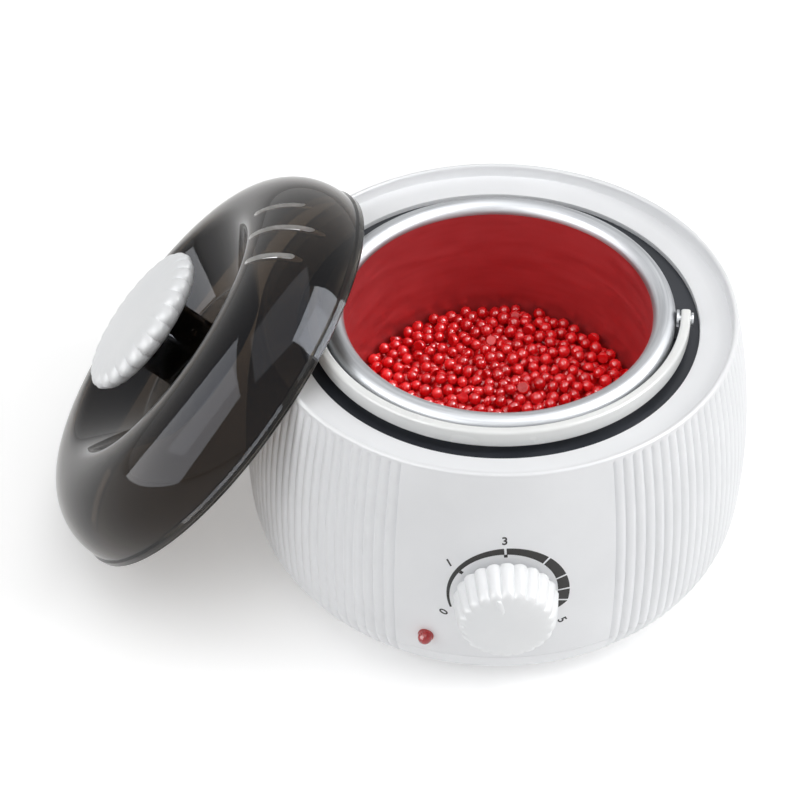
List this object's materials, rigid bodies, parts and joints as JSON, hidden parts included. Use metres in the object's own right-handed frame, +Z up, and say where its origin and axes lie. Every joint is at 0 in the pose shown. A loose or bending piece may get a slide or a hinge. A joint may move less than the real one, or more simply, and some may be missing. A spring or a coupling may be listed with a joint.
{
  "type": "wax warmer",
  "caption": "Electric wax warmer with a lift-out pot, thermostat knob and lamp, standing with its smoked lid off and leaning at its side.",
  "frame": {"origin": "on the housing's vertical axis, in the plane on which the feet stand", "axes": "+Z up, -Y towards the front with the control knob, +X to the right"},
  "size_m": [0.2716, 0.2173, 0.1401],
  "materials": {
    "housing_plastic": "satin gloss white, finely ribbed",
    "base_plastic": "matt white",
    "foot_rubber": "matt dark grey",
    "plated_steel": "bright plated",
    "brass": "bare",
    "bowl_coating": "near-black satin coating on aluminium",
    "heater_mica": "mica laminate",
    "ceramic_white": "unglazed ceramic",
    "lamp_red": "clear red",
    "lead_sleeve": "woven sleeve over wire",
    "lead_red": "plain insulation",
    "knob_plastic": "satin gloss white",
    "pot_aluminium": "spun, brushed around the axis",
    "wax_red": "glossy wax beads",
    "bail_plastic": "satin gloss white",
    "lid_smoked": "clear smoked, glossy"
  },
  "bodies": {
    "housing": {"housing": "housing_plastic", "base_cover": "base_plastic", "rubber_feet": "foot_rubber", "base_screws": "plated_steel", "heating_bowl": "bowl_coating", "bowl_clips": "plated_steel", "clip_screws": "plated_steel", "heater_plate": "heater_mica", "heater_clamp": "plated_steel", "heater_nut": "plated_steel", "thermal_fuse": "ceramic_white", "fuse_clip": "plated_steel", "thermostat_body": "ceramic_white", "thermostat_terminals": "brass", "thermostat_nut": "plated_steel", "indicator_lens": "lamp_red", "lamp_holder": "base_plastic", "cord_gland": "base_plastic", "gland_nut": "base_plastic", "terminal_block": "base_plastic", "terminal_screws": "brass", "heater_leads": "lead_sleeve", "lamp_leads": "lead_red"},
    "control": {"thermostat_shaft": "plated_steel", "control_knob": "knob_plastic"},
    "pot": {"pot": "pot_aluminium", "pot_ears": "pot_aluminium", "bail_pins": "plated_steel", "wax_fill": "wax_red"},
    "bail": {"bail_handle": "bail_plastic"},
    "lid": {"lid_dome": "lid_smoked", "lid_knob": "knob_plastic", "lid_screw": "plated_steel", "lid_washer": "plated_steel"}
  },
  "joints": [
    {"name": "lid_off", "type": "slide", "parent": "housing", "child": "lid", "axis": [-0.7544, 0.0953, 0.6494], "range_m": [0, 0.16]},
    {"name": "pot_lift", "type": "slide", "parent": "housing", "child": "pot", "axis": [0, 0, 1], "range_m": [0, 0.112]},
    {"name": "bail_swing", "type": "hinge", "parent": "pot", "child": "bail", "pos_m": [0, 0, 0.1106], "axis": [-0.9936, 0.1132, 0], "range_deg": [0, 90]},
    {"name": "knob_turn", "type": "hinge", "parent": "housing", "child": "control", "pos_m": [0, -0.1, 0.0588], "axis": [0, 1, 0], "range_deg": [-96, 138]}
  ],
  "couplings": [
    {"joint": "pot_lift", "follows": "lid_off", "ratio": 0.7},
    {"joint": "bail_swing", "follows": "lid_off", "rad_per_m": 9.817}
  ]
}
